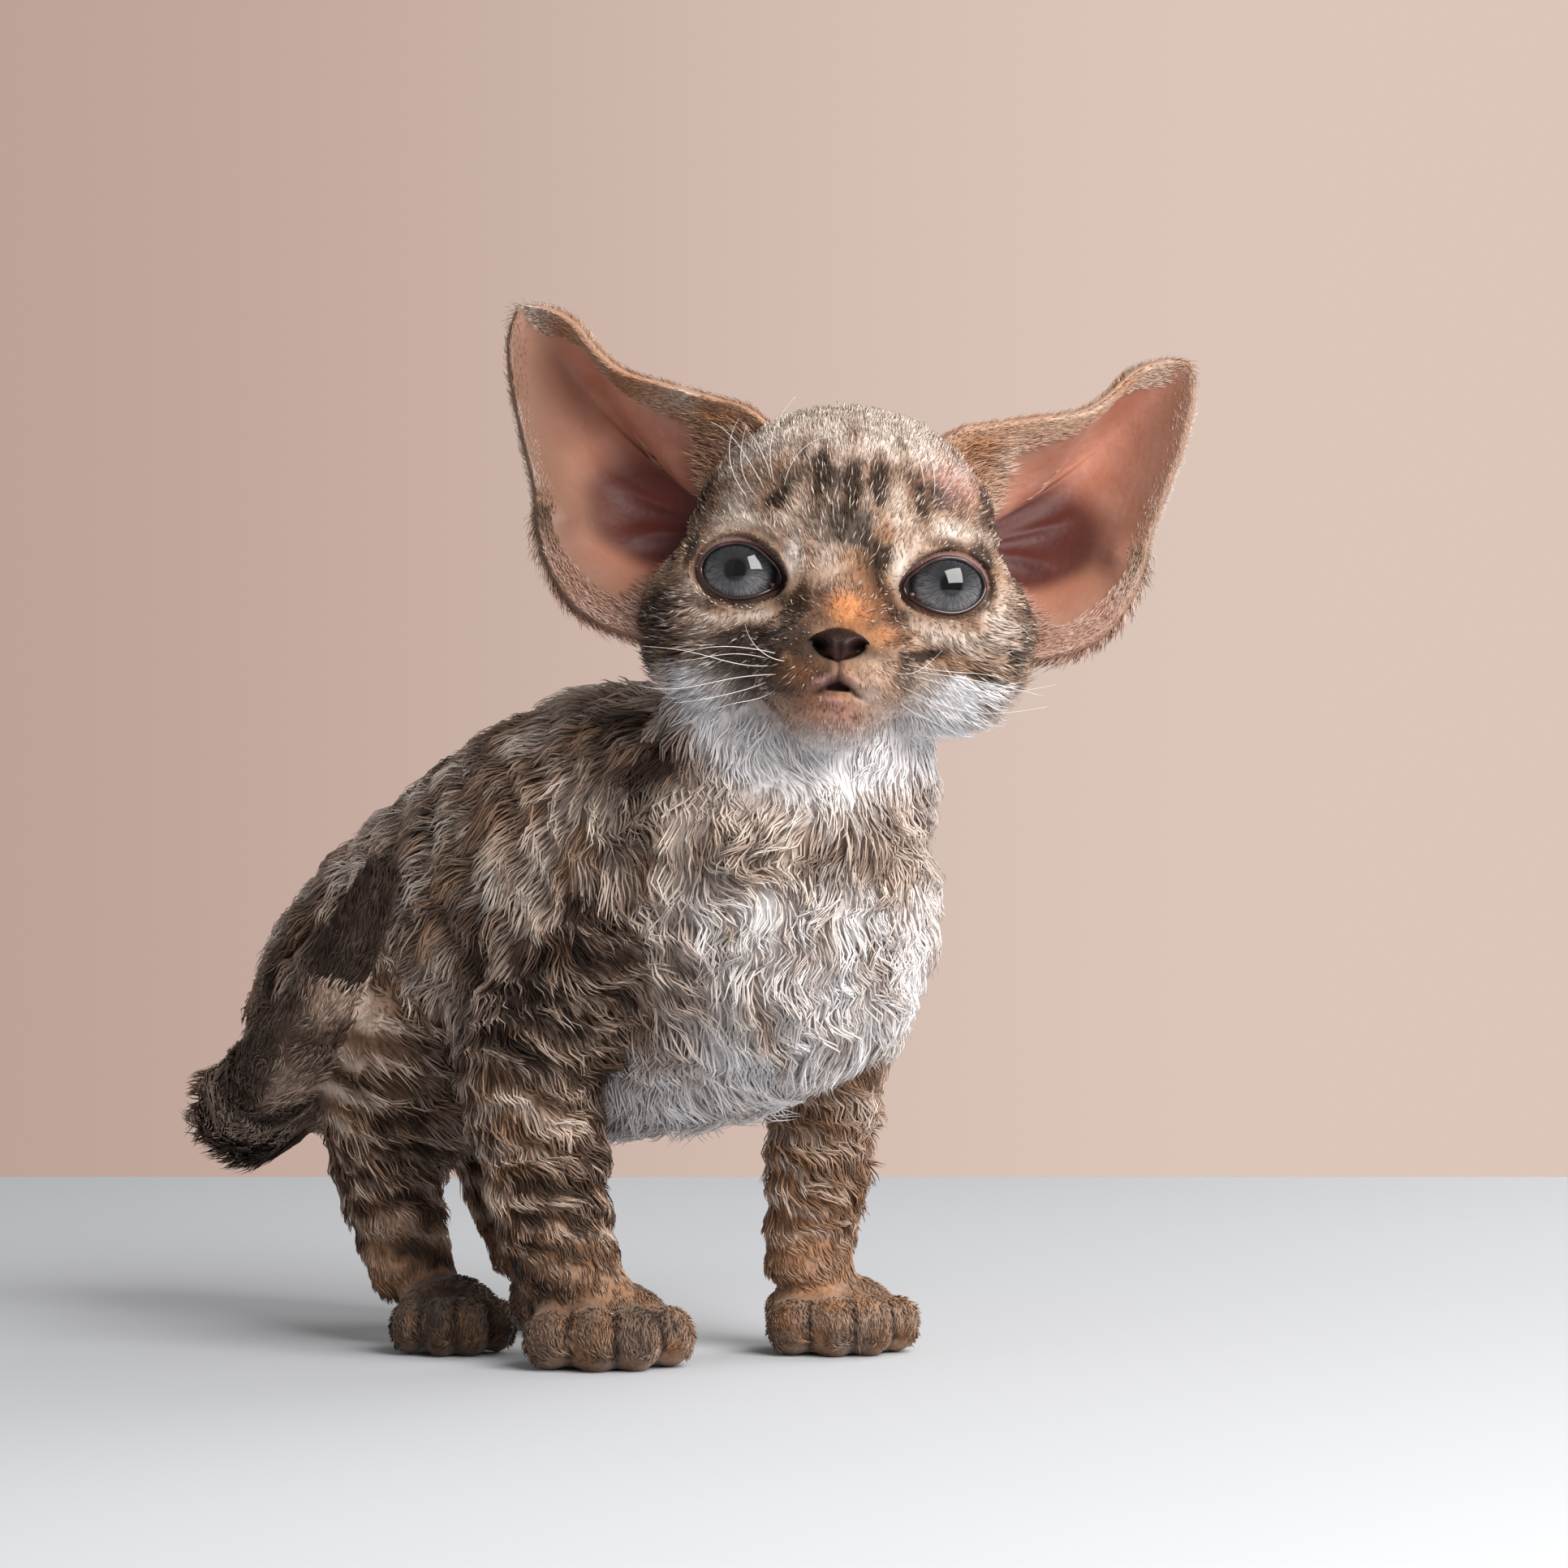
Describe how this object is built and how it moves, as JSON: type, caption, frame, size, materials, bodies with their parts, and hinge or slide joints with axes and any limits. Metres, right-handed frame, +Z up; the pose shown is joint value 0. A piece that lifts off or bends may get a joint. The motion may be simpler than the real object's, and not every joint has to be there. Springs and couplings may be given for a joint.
{
  "type": "devon rex kitten model",
  "caption": "Life-size standing model of a young curly-coated kitten with very large ears, head turned to face the viewer.",
  "frame": {"origin": "on the floor, under the middle of the whole animal's box", "axes": "+Z up, -Y the way the face looks; the trunk runs back from the chest towards -X and +Y"},
  "size_m": [0.1712, 0.1308, 0.1744],
  "materials": {
    "coat": "soft curly tabby fur",
    "ear_skin": "thin bare pink skin, downy at the rim",
    "nose_leather": "fine pebbled moist skin",
    "eye": "wet clear cornea over a blue-grey iris"
  },
  "bodies": {
    "root": {"head": "coat", "nose": "nose_leather", "eye_right": "eye", "eye_left": "eye", "ear_right": "ear_skin", "ear_left": "ear_skin", "neck": "coat", "torso": "coat", "tail": "coat", "foreleg_right": "coat", "foreleg_left": "coat", "hindleg_right": "coat", "hindleg_left": "coat", "forepaw_right": "coat", "forepaw_left": "coat", "hindpaw_right": "coat", "hindpaw_left": "coat"}
  },
  "joints": []
}
